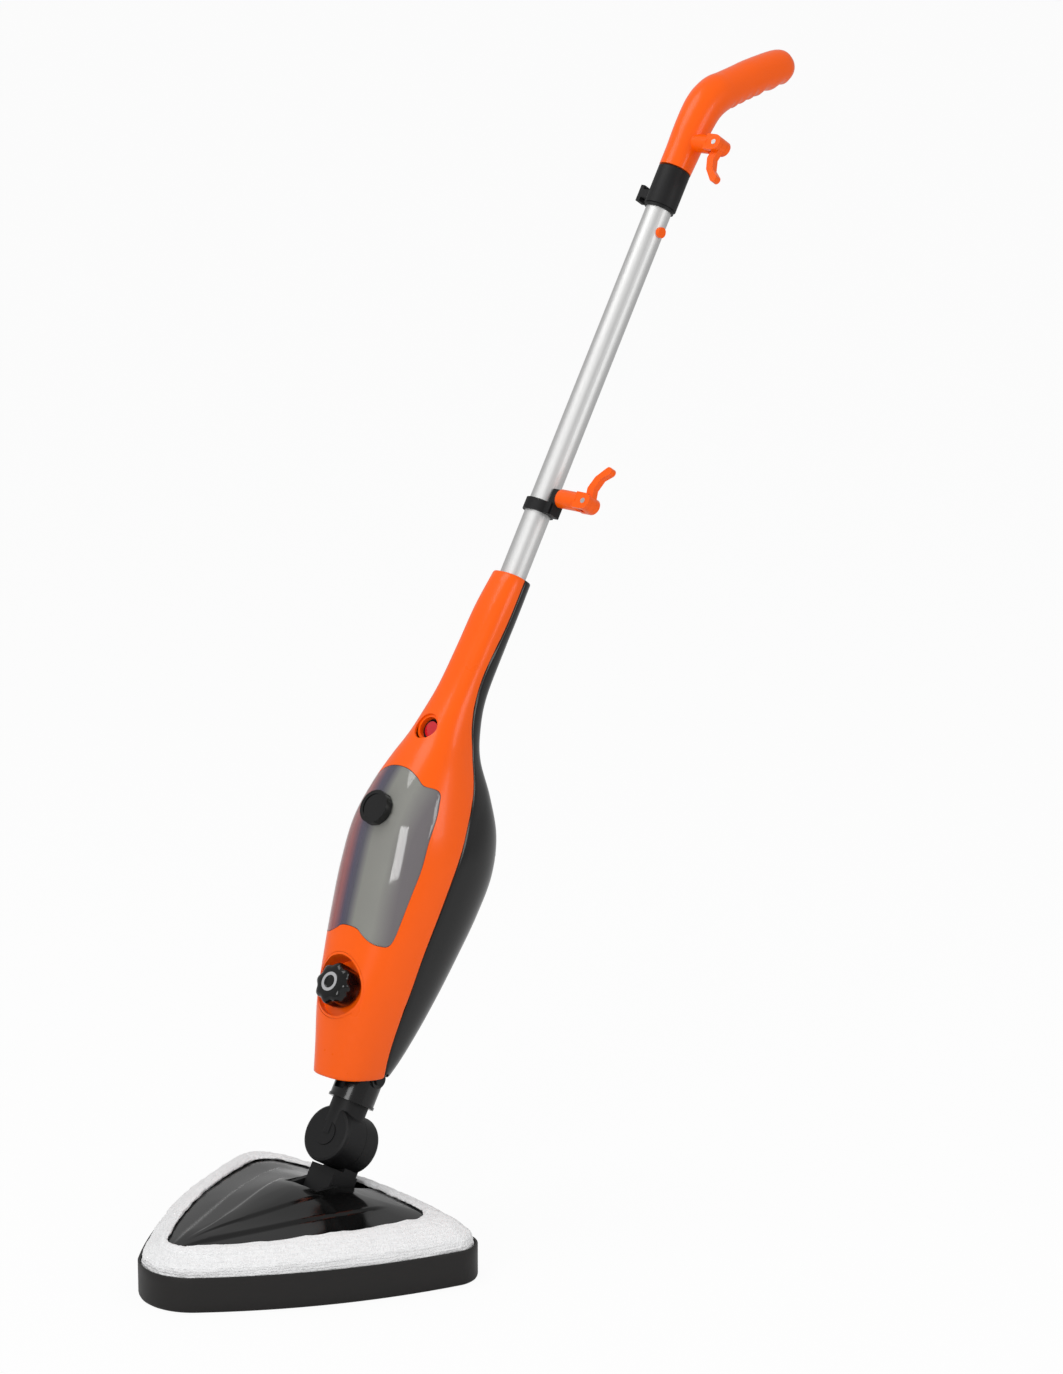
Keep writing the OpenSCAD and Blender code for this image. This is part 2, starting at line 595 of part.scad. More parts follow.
module boiler_element() color("darkgoldenrod") pole() translate([0, boiler_y, boiler_z]) {
    for (x = [-9, 9]) translate([x, 0, 2.6]) cylinder(r=3, h=boiler_len - 20);
    translate([0, 0, boiler_len - 17.4]) rotate([90, 0, 0]) rotate_extrude(angle=180) translate([9, 0]) circle(3);
}
module boiler_bracket() color(steel) pole() {
    for (z = [boiler_z + 14, boiler_z + boiler_len - 22]) translate([0, boiler_y, z]) ring(boiler_r + 0.05, boiler_r + 1.6, 8);
    for (x = [-1, 1]) translate([x * (boiler_r + 12.1) - 11.5, boiler_y - 0.8, boiler_z + 14]) cube([23, 1.6, boiler_len - 28]);
}
module thermostat() color(black) pole() translate([0, 0, boiler_z + 44]) front_cyl(6.5, boiler_y - boiler_r - 0.05, boiler_y - boiler_r - 6);
module thermal_fuse() color("white") pole() translate([-10, boiler_y - boiler_r - 0.6, boiler_z + 26]) cylinder(r=2.2, h=16);
pump_z = boiler_z + boiler_len + 22;
inlet_z = pump_z + 26;
module pump() color(grey) pole() difference() {
    union() {
        translate([-15, -46, pump_z]) cube([30, 34, 52]);
        translate([0, boiler_y, pump_z - 8]) cylinder(r=3, h=9);
        translate([outlet[0], 0, inlet_z]) front_cyl(3, -45, -54);
    }
    translate([0, boiler_y, pump_z - 9]) cylinder(r=1.6, h=12);
    translate([outlet[0], 0, inlet_z]) front_cyl(1.6, -42, -55);
}
module pump_mount() color("dimgrey") pole() for (x = [-1, 1]) translate([x * 23 - 8 + 0.05 * x, -34, pump_z + 14]) cube([16, 10, 24]);
module water_hose() color([0.8, 0.85, 0.8]) pole() translate([0, boiler_y, boiler_z + boiler_len + 1]) ring(3.05, 4.6, pump_z - boiler_z - boiler_len - 2);
feed_y = tank_back + 11.8;    // depth of the feed hose, between the tank and the boiler
module feed_hose() color([0.8, 0.85, 0.8]) pole() difference() {
    union() {
        translate([outlet[0], 0, inlet_z]) front_cyl(4.6, -46.3, feed_y);
        for (z = [outlet[2], inlet_z]) translate([outlet[0], feed_y, z]) sphere(4.6);
        translate([outlet[0], feed_y, outlet[2]]) cylinder(r=4.6, h=inlet_z - outlet[2]);
        translate([outlet[0], 0, outlet[2]]) front_cyl(3.6, feed_y, tank_back - tank_wall);
    }
    translate([outlet[0], 0, inlet_z]) front_cyl(3 + run_gap, -40, -54.5);
}
module steam_hose() color([0.75, 0.3, 0.2]) pole() translate([0, neck_y, 100]) ring(2.4, 3.8, knob_z - 7 - 100);

// ---------- switch ----------

board_z = 450;
board_y = -77;               // front face of the board
module circuit_board() color("darkgreen") pole() translate([-9, board_y, board_z]) {
    cube([18, 1.6, 44]);
    translate([3, -6, 14]) cube([12, 6.1, 12]);
    translate([4, 1.5, 24]) cube([10, 5, 12]);
}
switch_y = -94;              // face of the switch
rocker_y = switch_y + 4;      // pivot of the rocker
module switch_bezel() color(orange) pole() translate([0, 0, switch_z]) difference() {
    front_cyl(switch_r + 3, -80, switch_y - 4.5);
    front_cyl(switch_r + 0.5, -70, switch_y - 10);
}
module switch_body() color(black) pole() translate([0, 0, switch_z]) difference() {
    union() {
        front_cyl(switch_r + 0.4, -70, switch_y + 0.5);
        for (z = [-4, 4]) translate([-2.5, -71, z]) cube([5, 8, 0.8]);
    }
    front_cyl(switch_r - 1, rocker_y + 4.6, switch_y - 10);
    translate([0, rocker_y, 0]) side_cyl(1.5 + run_gap, -switch_r + 0.1, switch_r - 0.1);
}
module power_rocker() color([0.7, 0.05, 0.08]) pole() translate([0, rocker_y, switch_z]) rotate([8, 0, 0]) {
    front_cyl(switch_r - 1.9, 3, -4.5);
    side_cyl(1.5, -switch_r + 0.3, switch_r - 0.3);
}
module tube_release() color(black) pole() {
    translate([-8, -61, trigger_z - 15]) cube([16, 8.2, 30]);
    translate([-8.8, -62.4, trigger_z - 17]) cube([17.6, 1.8, 34]);
}

// ---------- pole and handle ----------

module flats(r) intersection() {
    circle(r);
    rotate(22.5) circle(r * 1.035 / cos(22.5), $fn=8);
}
module pole_tube() color(steel) pole() difference() {
    translate([0, -pole_w, tube_z0]) linear_extrude(tube_z1 - tube_z0) difference() {
        flats(tube_r);
        circle(tube_r - tube_wall);
    }
    translate([0, -pole_w, lock_z]) side_cyl(5.05, 0, 30);
    translate([0, -pole_w, tube_z0 + 12]) side_cyl(2.05, -30, 30);
}
lock_z = collar_z - 21.5;
module lock_button() color(orange) pole() translate([0, -pole_w, lock_z]) {
    side_cyl(5, tube_r - 4, tube_r + 2.6);
    side_cyl(5.8, tube_r - 7, tube_r - 3.8);
}
module tube_plug() color(black) pole() translate([0, -pole_w, 0]) difference() {
    translate([0, 0, tube_z0 - 20]) union() {
        cylinder(r=tube_r - tube_wall - run_gap, h=52);
        cylinder(r=tube_r, h=19.8);
    }
    translate([0, 0, tube_z0 - 21]) cylinder(r=5, h=60);
    translate([-20, pole_w - 65.4, tube_z0 - 21]) cube([40, 20, trigger_z + 39.5 - tube_z0]);
    translate([0, 0, tube_z0 + 12]) side_cyl(2.05, -30, 30);
}
module tube_screw() color(steel) pole() translate([0, -pole_w, tube_z0 + 12]) {
    side_cyl(2, -tube_r - 0.5, tube_r + 1);
    side_cyl(3.6, tube_r + 1, tube_r + 3);
}
module hook_band() color(black) pole() translate([0, -pole_w, hook_z]) difference() {
    union() {
        translate([0, 0, -5.5]) cylinder(r=tube_r + 2.6, h=11);
        translate([tube_r - 3, -8, -5.5]) cube([10, 16, 11]);
        translate([tube_r + 0.6, -6, -5.5]) cube([8.4, 12, hook_lift + 12]);
    }
    translate([0, 0, -7]) cylinder(r=tube_r + run_gap, h=14);
}
// An arm with a fork that holds a finger's eye
module arm(from) difference() {
    union() {
        side_cyl(hook_r, from, hook_reach - eye_r - 1.5);
        translate([hook_reach - eye_r - 3, 0, 0]) rotate([90, 0, 0]) translate([0, 0, -hook_r + 0.4]) linear_extrude(2 * hook_r - 0.8)
            hull() { translate([0, -hook_r + 1]) square([1, 2 * hook_r - 2]); translate([eye_r + 3, 0]) circle(eye_r); }
    }
    translate([hook_reach, 3.6, 0]) rotate([90, 0, 0]) cylinder(r=eye_r + 2.2, h=7.2);
    translate([hook_reach, 0, 0]) front_cyl(2.5, 20, -20);
}
// A finger that swings on its eye and flares out at the end
module finger() difference() {
    union() {
        front_cyl(eye_r, 3.4, -3.4);
        hull() { translate([2, 0, 2]) cube([8, 6.8, 1], center=true); translate([-1, 0, 14]) cube([7.6, 6.8, 1], center=true); }
        hull() { translate([-1, 0, 14]) cube([7.6, 6.8, 1], center=true); translate([3, 0, 25]) cube([7.4, 6.8, 1], center=true); }
        hull() { translate([3, 0, 25]) cube([7.4, 6.8, 1], center=true); translate([11.5, 0, 33]) rotate([90, 0, 0]) cylinder(r=3.8, h=6.8, center=true, $fn=24); }
    }
    front_cyl(2.5 + run_gap, 20, -20);
}
hook_lift = 12.5;            // the lower arm sits above its band
module lower_arm() color(orange) pole() translate([0, -pole_w, hook_z + hook_lift]) arm(tube_r + 9.1);
module lower_finger() color(orange) pole() translate([hook_reach, -pole_w, hook_z + hook_lift]) finger();
upper_dx = hook_reach - 14;
module upper_finger() color(orange) pole() translate([upper_dx, -pole_w, arm_z]) mirror([0, 0, 1]) finger();
module hook_pins() color(steel) pole() {
    translate([hook_reach, -pole_w, hook_z + hook_lift]) front_cyl(2.5, hook_r - 0.2, -hook_r + 0.2);
    translate([upper_dx, -pole_w, arm_z]) front_cyl(2.5, hook_r - 0.2, -hook_r + 0.2);
}
module handle_collar() color(black) pole() translate([0, -pole_w, collar_z]) difference() {
    union() {
        translate([0, 0, 3]) cylinder(r=collar_r, h=collar_len - 3);
        cylinder(r=collar_r - 1.2, h=4);
        translate([0, 0, collar_len - 1]) cylinder(r=collar_r - 3, h=16);
    }
    translate([0, 0, -1]) cylinder(r=tube_r + run_gap, h=collar_len - 3);
    cylinder(r=tube_r - 3, h=collar_len + 20);
}
module cord_clip() color(black) pole() translate([-collar_r - 0.1, -pole_w, collar_z + 13]) difference() {
    union() {
        translate([-9, -5, -4]) cube([9, 10, 8]);
        translate([-13, -5, -8]) cube([4.4, 10, 16]);
    }
    translate([collar_r + 0.1, 0, -20]) cylinder(r=collar_r + 0.05, h=40);
}
// Grip line: across the pole (forwards), up the pole, radius
grip_line = [[0, 0, 0], [-0.8, 20, 0.6], [-1.4, 45, 1.6], [-4.4, 68, 2.6], [-12, 84, 3], [-21.7, 94, 2.6],
             [-35.5, 108, 2.2], [-49.8, 122, 2.3], [-75.4, 145, 1.4], [-84, 151.5, -2.5], [-89, 155, -9]];
grip_z = collar_z + collar_len;
function grip_at(t, c) = at([for (i = [0:len(grip_line) - 1]) [i, each grip_line[i]]], t, c);
module handle_grip() color(orange) pole() translate([0, -pole_w, grip_z]) difference() {
    union() {
        skin([for (t = [0.06:0.5:10.1])
            let (p = [grip_at(t, 1), grip_at(t, 2)], q = [grip_at(t + 0.2, 1), grip_at(t + 0.2, 2)],
                 o = [grip_at(t - 0.1, 1), grip_at(t - 0.1, 2)], d = (q - o) / norm(q - o),
                 r = grip_r - 2 + grip_at(t, 3),
                 s = t > 4.5 && t < 9.3 ? 1.6 * pow(sin(360 * (t - 4.5) * 0.83), 2) : 0)
            [for (i = [23:-1:0]) let (a = 15 * i, u = r * cos(a), v = (r - s * max(0, -sin(a))) * sin(a))
                [u, -(p[0] + v * d[1]), p[1] - v * d[0]]]]);
        translate([0, 0, arm_z - grip_z]) translate([-14, 0, 0]) arm(25);
    }
    translate([0, 0, -1]) cylinder(r=collar_r - 2.9, h=17);
}

glider_tray();
mop_pad();
head_base();
head_cover();
steam_chamber();
chamber_seal();
hinge_yoke();
steam_elbow();
head_screws();
pitch_axle();
swivel_post();
roll_axle();
roll_seal();
post_cap();
neck_joint();
drum_cap();
neck_oring();
neck_sleeve();
neck_button();
front_shell();
rear_shell();
bottom_cover();
shell_screws();
cord_gland();
water_tank();
tank_cap();
cap_seal();
outlet_seal();
water_filter();
knob_dish();
steam_knob();
knob_ring();
steam_valve();
boiler();
boiler_element();
boiler_bracket();
thermostat();
thermal_fuse();
pump();
pump_mount();
water_hose();
feed_hose();
steam_hose();
circuit_board();
switch_body();
switch_bezel();
power_rocker();
tube_release();
pole_tube();
tube_plug();
tube_screw();
lock_button();
hook_band();
lower_arm();
lower_finger();
handle_collar();
cord_clip();
handle_grip();
upper_finger();
hook_pins();
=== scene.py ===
import math
import bpy
import bmesh
from mathutils import Matrix, Vector, noise


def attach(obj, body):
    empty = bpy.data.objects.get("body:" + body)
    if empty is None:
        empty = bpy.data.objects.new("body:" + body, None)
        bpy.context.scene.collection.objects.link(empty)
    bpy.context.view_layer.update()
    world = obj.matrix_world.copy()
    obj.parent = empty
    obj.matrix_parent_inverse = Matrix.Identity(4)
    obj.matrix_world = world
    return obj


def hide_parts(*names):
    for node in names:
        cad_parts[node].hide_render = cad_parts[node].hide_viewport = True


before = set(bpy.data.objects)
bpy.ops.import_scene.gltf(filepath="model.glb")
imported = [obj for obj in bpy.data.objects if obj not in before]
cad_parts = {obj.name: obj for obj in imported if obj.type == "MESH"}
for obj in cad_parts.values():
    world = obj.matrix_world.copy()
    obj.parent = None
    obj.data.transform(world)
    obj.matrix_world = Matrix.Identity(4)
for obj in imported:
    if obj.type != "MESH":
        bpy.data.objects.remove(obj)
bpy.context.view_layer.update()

bpy.ops.object.select_all(action="DESELECT")
mm = 0.001

# The pole's own frame: z along the pole, -y to the front
stance = {"pivotHeight": 0.042, "lean": 31, "poleAxis": 70.4}
poleFrame = (Matrix.Translation((0, 0, stance["pivotHeight"]))
             @ Matrix.Rotation(math.radians(-stance["lean"]), 4, "X"))
floorFrame = Matrix.Identity(4)


def clamp(value, low=0.0, high=1.0):
    return max(low, min(high, value))


def mix(a, b, t):
    return a + (b - a) * t


def smooth(t):
    t = clamp(t)
    return t * t * (3 - 2 * t)


def tableAt(table, z, column):  # a smooth curve through the rows of a table
    rows = len(table)
    i = 1
    while i < rows - 1 and table[i][0] < z:
        i += 1
    a, b, d, e = table[max(i - 2, 0)], table[i - 1], table[i], table[min(i + 1, rows - 1)]
    h = d[0] - b[0]
    t = clamp((z - b[0]) / h)
    m0 = (d[column] - a[column]) / max(d[0] - a[0], 1) * h
    m1 = (e[column] - b[column]) / max(e[0] - b[0], 1) * h
    return ((2*t**3 - 3*t*t + 1) * b[column] + (t**3 - 2*t*t + t) * m0
            + (3*t*t - 2*t**3) * d[column] + (t**3 - t*t) * m1)


# ---- materials ----

class Wire:  # a shader socket that takes part in Python expressions
    def __init__(self, finish, socket):
        self.finish, self.socket = finish, socket

    def maths(self, operation, *others):
        return self.finish.node("Math", {"operation": operation}, list(others))

    def __add__(self, other):
        return self.maths("ADD", self, other)

    def __sub__(self, other):
        return self.maths("SUBTRACT", self, other)

    def __mul__(self, other):
        return self.maths("MULTIPLY", self, other)


class Finish:  # one material and its nodes
    def __init__(self, name):
        self.material = bpy.data.materials.new(name)
        self.material.use_nodes = True
        self.tree = self.material.node_tree
        self.shader = self.tree.nodes["Principled BSDF"]

    def plug(self, socket, value):
        if isinstance(value, Wire):
            self.tree.links.new(value.socket, socket)
        elif isinstance(value, (tuple, list)) and len(value) == 3 and socket.type == "RGBA":
            socket.default_value = (*value, 1)
        else:
            socket.default_value = value

    def node(self, kind, settings=None, values=(), output=0):
        made = self.tree.nodes.new("ShaderNode" + kind)
        for key, value in (settings or {}).items():
            setattr(made, key, value)
        pairs = values.items() if isinstance(values, dict) else enumerate(values)
        for key, value in pairs:
            self.plug(made.inputs[key], value)
        return Wire(self, made.outputs[output])

    def set(self, **values):
        for key, value in values.items():
            self.plug(self.shader.inputs[key.replace("_", " ")], value)

    def place(self, scale=(1, 1, 1), turn=(0, 0, 0)):
        spot = self.node("TexCoord", output="Object")
        size = tuple(1 / s for s in scale)
        values = {"Vector": spot, "Rotation": turn, "Scale": size}
        return self.node("Mapping", {"vector_type": "TEXTURE"}, values)

    def grain(self, scale, detail=2, spot=None):
        where = spot or self.place()
        return self.node("TexNoise", {}, {"Vector": where, "Scale": scale, "Detail": detail})

    def ramp(self, factor, stops):  # stops: (position, colour)
        made = self.tree.nodes.new("ShaderNodeValToRGB")
        elements = made.color_ramp.elements
        while len(elements) < len(stops):
            elements.new(0.5)
        for element, (position, colour) in zip(elements, stops):
            element.position = position
            element.color = (*colour, 1)
        self.plug(made.inputs[0], factor)
        return Wire(self, made.outputs[0])

    def colourMix(self, factor, a, b):
        made = self.tree.nodes.new("ShaderNodeMix")
        made.data_type = "RGBA"
        for index, value in ((0, factor), (6, a), (7, b)):
            self.plug(made.inputs[index], value)
        return Wire(self, made.outputs[2])

    def bump(self, height, strength, distance):
        self.set(Normal=self.node("Bump", {}, {"Strength": strength, "Distance": distance, "Height": height}))
        return self


def moulding(name, colour, rough, grainScale, grainDepth, coat=0.0, blotch=0.08, shine=0.3):
    made = Finish(name)
    wide = made.grain(28, 3)
    fine = made.grain(grainScale, 2)
    dark = tuple(c * (1 - blotch) for c in colour)
    made.set(Base_Color=made.colourMix(wide, dark, colour),
             Roughness=wide * (rough * 0.35) + rough * 0.8, Coat_Weight=coat, Coat_Roughness=0.08,
             Specular_IOR_Level=shine)
    return made.bump(fine, 0.35, grainDepth)


finishes = {
    "orange": moulding("orangeGloss", (1.0, 0.118, 0.001), 0.3, 1400, 0.00002, 0.1, 0.05, 0.22),
    "glossBlack": moulding("glossBlack", (0.004, 0.004, 0.004), 0.13, 1200, 0.00001, 0.1, 0.2),
    "shellBlack": moulding("shellBlack", (0.005, 0.005, 0.005), 0.22, 1600, 0.00001, 0.2, 0.2),
    "mattBlack": moulding("mattBlack", (0.005, 0.005, 0.0055), 0.55, 3200, 0.00004, 0.0, 0.2),
    "trayBlack": moulding("trayBlack", (0.013, 0.012, 0.0115), 0.46, 2600, 0.00004, 0.0, 0.15),
    "grey": moulding("greyMoulding", (0.30, 0.30, 0.31), 0.5, 2500, 0.00003),
    "white": moulding("whiteMoulding", (0.75, 0.75, 0.72), 0.45, 2500, 0.00003),
    "board": moulding("boardGreen", (0.02, 0.16, 0.06), 0.4, 2000, 0.00002),
    "silicone": moulding("silicone", (0.45, 0.10, 0.07), 0.5, 2500, 0.00003),
    "milky": moulding("milkyHose", (0.6, 0.62, 0.6), 0.35, 2500, 0.00002),
    "redGlow": moulding("rockerRed", (0.70, 0.006, 0.02), 0.16, 900, 0.00001, 0.8, 0.3),
    "rubberBlack": moulding("rubberBlack", (0.02, 0.02, 0.02), 0.7, 2800, 0.00005),
}


def metal(name, colour, rough, along=(900, 900, 14), turn=0.0, depth=0.00001):
    made = Finish(name)
    lines = made.grain(1, 3, made.place(along, (turn, 0, 0)))
    cloud = made.grain(35, 2)
    made.set(Base_Color=made.colourMix(lines, tuple(c * 0.86 for c in colour), colour),
             Metallic=1.0, Roughness=lines * 0.14 + cloud * 0.08 + (rough - 0.1))
    return made.bump(lines, 0.4, depth)


leanTurn = math.radians(-stance["lean"])
finishes["tube"] = metal("tubeAluminium", (0.70, 0.70, 0.695), 0.5, (1500, 1500, 9), leanTurn)
finishes["steel"] = metal("brightSteel", (0.66, 0.66, 0.67), 0.3)
finishes["cast"] = metal("castAluminium", (0.62, 0.62, 0.63), 0.5, (300, 300, 300), 0, 0.00008)
finishes["brass"] = metal("turnedBrass", (0.72, 0.5, 0.2), 0.32)
finishes["chrome"] = metal("chromeRing", (0.82, 0.82, 0.84), 0.16)


# smoky tank plastic whose colour carries painted reflections in bands across the tank
def smokePlasticAndPaintedReflections():
    made = Finish("tankSmokeAndPaintedReflections")
    cloud = made.grain(9, 2)
    spot = made.node("TexCoord", output="Object")
    across = made.node("SeparateXYZ", {}, [spot])
    paintedReflectionBands = [  # painted reflections, as bands of colour from the left side of the tank to the right, a dark reflected band among them
        (0.08, (0.62, 0.22, 0.20)), (0.30, (0.50, 0.10, 0.10)), (0.40, (0.07, 0.06, 0.14)),
        (0.47, (0.10, 0.10, 0.15)), (0.56, (0.42, 0.43, 0.38)), (0.78, (0.46, 0.47, 0.42)),
        (0.93, (0.26, 0.24, 0.25)),
    ]
    # the bands set the tank's colour by place across it: painted reflections, mixed below with the smoky grey
    # of the plastic
    paintedReflectionColour = made.ramp(across * 10 + 0.5 + cloud * 0.05, paintedReflectionBands)
    made.set(Base_Color=made.colourMix(cloud * 0.4, paintedReflectionColour, (0.30, 0.27, 0.29)),
             Roughness=cloud * 0.05 + 0.05, IOR=1.46, Transmission_Weight=0.45, Coat_Weight=0.4)
    return made.bump(made.grain(60, 2), 0.15, 0.0002)


def terryCloth():
    made = Finish("terryCloth")
    loops = made.node("TexVoronoi", {}, {"Vector": made.place(), "Scale": 620})
    rows = made.node("TexWave", {"wave_type": "BANDS", "bands_direction": "Z"},
                     {"Vector": made.place((1, 1, 1)), "Scale": 130, "Distortion": 3, "Detail": 2})
    tuft = made.grain(240, 4)
    height = tuft * 0.8 + rows * 0.25 - loops * 0.7
    made.set(Base_Color=made.colourMix(tuft * 0.7 + rows * 0.15, (0.80, 0.80, 0.81), (0.98, 0.98, 0.98)),
             Roughness=0.95, Sheen_Weight=0.35, Sheen_Roughness=0.6)
    return made.bump(height, 0.9, 0.0012)


finishes["smokeAndPaintedReflections"] = smokePlasticAndPaintedReflections()
finishes["terry"] = terryCloth()
print("materials ready:", len(finishes))

nodeFinish = {
    "orange": ["knob_dish", "switch_bezel", "lock_button", "lower_arm", "lower_finger", "upper_finger",
               "handle_grip", "front_shell"],
    "glossBlack": ["head_cover", "steam_knob"],
    "shellBlack": ["rear_shell", "tank_cap", "tube_release", "neck_sleeve"],
    "mattBlack": ["swivel_post", "neck_joint", "drum_cap", "post_cap", "neck_button", "bottom_cover",
                  "hinge_yoke", "head_base", "switch_body", "tube_plug", "hook_band", "handle_collar",
                  "cord_clip", "thermostat"],
    "trayBlack": ["glider_tray"],
    "grey": ["steam_chamber", "steam_elbow", "pump", "water_filter"],
    "white": ["thermal_fuse"],
    "board": ["circuit_board"],
    "silicone": ["chamber_seal", "roll_seal", "neck_oring", "cap_seal", "outlet_seal", "steam_hose"],
    "rubberBlack": ["cord_gland", "pump_mount"],
    "milky": ["water_hose", "feed_hose"],
    "steel": ["head_screws", "pitch_axle", "roll_axle", "shell_screws", "boiler_element", "boiler_bracket",
              "tube_screw", "hook_pins"],
    "chrome": ["knob_ring"],
    "cast": ["boiler"],
    "brass": ["steam_valve"],
    "redGlow": ["power_rocker"],
    "tube": ["pole_tube"],
    "terry": ["mop_pad"],
    "smokeAndPaintedReflections": ["water_tank"],
}
for finish, names in nodeFinish.items():
    for name in names:
        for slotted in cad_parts[name].material_slots:
            slotted.material = finishes[finish].material


# ---- mesh making ----


def finished(piece, finish, body, replaced, angle=35):  # stands for the replaced node of the frame
    piece.data.materials.clear()
    piece.data.materials.append(finishes[finish].material)
    bpy.ops.object.select_all(action="DESELECT")
    piece.select_set(True)
    bpy.context.view_layer.objects.active = piece
    bpy.ops.object.shade_smooth_by_angle(angle=math.radians(angle))
    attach(piece, body)
    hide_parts(replaced)


def meshPiece(name, points, faces, place):
    mesh = bpy.data.meshes.new(name)
    mesh.from_pydata([tuple(place @ (Vector(p) * mm)) for p in points], [], faces)
    mesh.validate()
    piece = bpy.data.objects.new(name, mesh)
    bpy.context.scene.collection.objects.link(piece)
    outward(piece)
    return piece


def outward(piece):
    shape = bmesh.new()
    shape.from_mesh(piece.data)
    bmesh.ops.remove_doubles(shape, verts=shape.verts, dist=0.000005)
    bmesh.ops.recalc_face_normals(shape, faces=shape.faces)
    shape.to_mesh(piece.data)
    shape.free()


def skin(name, rings, place):  # a closed skin over rings with as many points each
    n = len(rings[0])
    points = [p for ring in rings for p in ring]
    faces = [[j*n + i, (j+1)*n + i, (j+1)*n + (i+1) % n, j*n + (i+1) % n]
             for j in range(len(rings) - 1) for i in range(n)]
    faces += [list(range(n)), [(len(rings) - 1)*n + i for i in range(n)][::-1]]
    return meshPiece(name, points, faces, place)


def modified(piece, kind, **settings):
    bpy.ops.object.select_all(action="DESELECT")
    piece.select_set(True)
    bpy.context.view_layer.objects.active = piece
    modifier = piece.modifiers.new(kind, kind)
    for key, value in settings.items():
        setattr(modifier, key, value)
    bpy.ops.object.modifier_apply(modifier=modifier.name)
    return piece


def cutBy(piece, *tools):
    for tool in tools:
        modified(piece, "BOOLEAN", operation="DIFFERENCE", solver="EXACT", object=tool)
        bpy.data.objects.remove(tool)
    return piece


def prism(name, outline, y0, y1):  # an outline across and up the pole, extruded along the depth
    return skin(name, [[(x, y, z) for x, z in outline] for y in (y0, y1)], poleFrame)


def turned(name, profile, place, centre, axis="y", steps=72):  # profile: (radius, distance along the axis)
    rings = []
    for r, d in profile:
        ring = []
        for i in range(steps):
            a = 2 * math.pi * i / steps
            u, v = r * math.cos(a), r * math.sin(a)
            offset = {"y": (u, d, v), "x": (d, u, v), "z": (u, v, d)}[axis]
            ring.append(tuple(c + o for c, o in zip(centre, offset)))
        rings.append(ring)
    return skin(name, rings, place)


# ---- outline of the floor head ----

head = {"tray": (148, 51, 129, 35, 26.5, 545, 523), "window": (154, 20, 90, 16, 20, 455, 453), "crown": (0, -6),
        "trayHeight": 33, "trayWall": 2.2, "inset": 11.5, "rim": 41, "crownHeight": 60, "base": 9.2,
        "padSide": 8}


def meet(a, ra, b, rb):
    d = math.dist(a, b)
    e = ((b[0] - a[0]) / d, (b[1] - a[1]) / d)
    x = (ra*ra - rb*rb + d*d) / (2*d)
    h = math.sqrt(max(ra*ra - x*x, 0))
    return a[0] + x*e[0] - h*e[1], a[1] + x*e[1] + h*e[0]


def outline(o, d=0.0, steps=30):
    def arc(c, r, a0, a1):
        return [(c[0] + r*math.cos(mix(a0, a1, i / steps)), c[1] + r*math.sin(mix(a0, a1, i / steps)))
                for i in range(steps)]
    t, k = (0, -o[0]), (o[2], o[3])
    s = meet(t, o[5] - o[1], k, o[5] - o[4])
    q = (0, o[3] - math.sqrt((o[6] - o[4])**2 - o[2]**2))
    a = math.atan2(t[1] - s[1], t[0] - s[0])
    b = math.atan2(k[1] - s[1], k[0] - s[0])
    c = math.atan2(k[1] - q[1], k[0] - q[0])
    half = (arc(t, o[1] - d, -math.pi / 2, a) + arc(s, o[5] - d, a, b) + arc(k, o[4] - d, b, c)
            + arc(q, o[6] - d, c, math.pi / 2) + [(0, q[1] + o[6] - d)])
    return half + [(-x, y) for x, y in half[-2:0:-1]]


def sag(y, z):
    return z - 0.03 * max(0, -y - 70)


def edgeRing(d, z):
    return [(x, y, z) for x, y in outline(head["tray"], d)]


def bandRing(d, t, z):
    return [(mix(a[0], b[0], t), mix(a[1], b[1], t), sag(mix(a[1], b[1], t), z))
            for a, b in zip(outline(head["tray"], d), outline(head["window"]))]


def crownRing(k, z):
    cx, cy = head["crown"]
    drawn = [(cx + (x - cx) * k, cy + (y - cy) * k) for x, y in outline(head["window"])]
    return [(x, y, sag(y, z)) for x, y in drawn]


def curveWeights(t):  # of four points in a row, for a smooth curve between the middle two
    return (-0.5*t**3 + t*t - 0.5*t, 1.5*t**3 - 2.5*t*t + 1,
            -1.5*t**3 + 2*t*t + 0.5*t, 0.5*t**3 - 0.5*t*t)


def between(rings, steps):  # more rings on smooth curves through the given ones
    made = []
    for j in range(len(rings) - 1):
        p, a, b, q = rings[max(j - 1, 0)], rings[j], rings[j + 1], rings[min(j + 2, len(rings) - 1)]
        for k in range(steps):
            w = curveWeights(k / steps)
            made.append([tuple(sum(c * v for c, v in zip(w, vs)) for vs in zip(*four))
                         for four in zip(p, a, b, q)])
    return made + [rings[-1]]


# ---- glider tray ----

trayTop = head["trayHeight"]
wall = head["trayWall"]
trayProfile = [  # inset from the outline, and height
    (4.5, 0), (2.4, 0.4), (1.1, 1.3), (0.35, 2.6), (0, 4.2), (0, 12), (0, trayTop - 8), (0, trayTop - 1),
    (0.3, trayTop - 0.3), (0.9, trayTop), (1.5, trayTop), (2.0, trayTop - 0.3), (wall, trayTop - 1),
    (wall, 12), (wall, 4.5), (wall + 0.6, 3.2), (wall + 1.8, 2.6),
]
tray = skin("gliderTray", [edgeRing(d, z) for d, z in trayProfile], floorFrame)
slots = [skin("slot", [[(x - 11, y - 2.5, z), (x + 11, y - 2.5, z), (x + 11, y + 2.5, z), (x - 11, y + 2.5, z)]
                       for z in (-1, 4)], floorFrame)
         for y in range(-110, 41, 30) for x in range(-60, 61, 40)
         if abs(x) < 70 - 0.45 * max(0, -y - 20) and math.hypot(x, y) > 24]
finished(cutBy(tray, *slots), "trayBlack", "floor_head", "glider_tray")
print("tray done")

# ---- mop pad ----

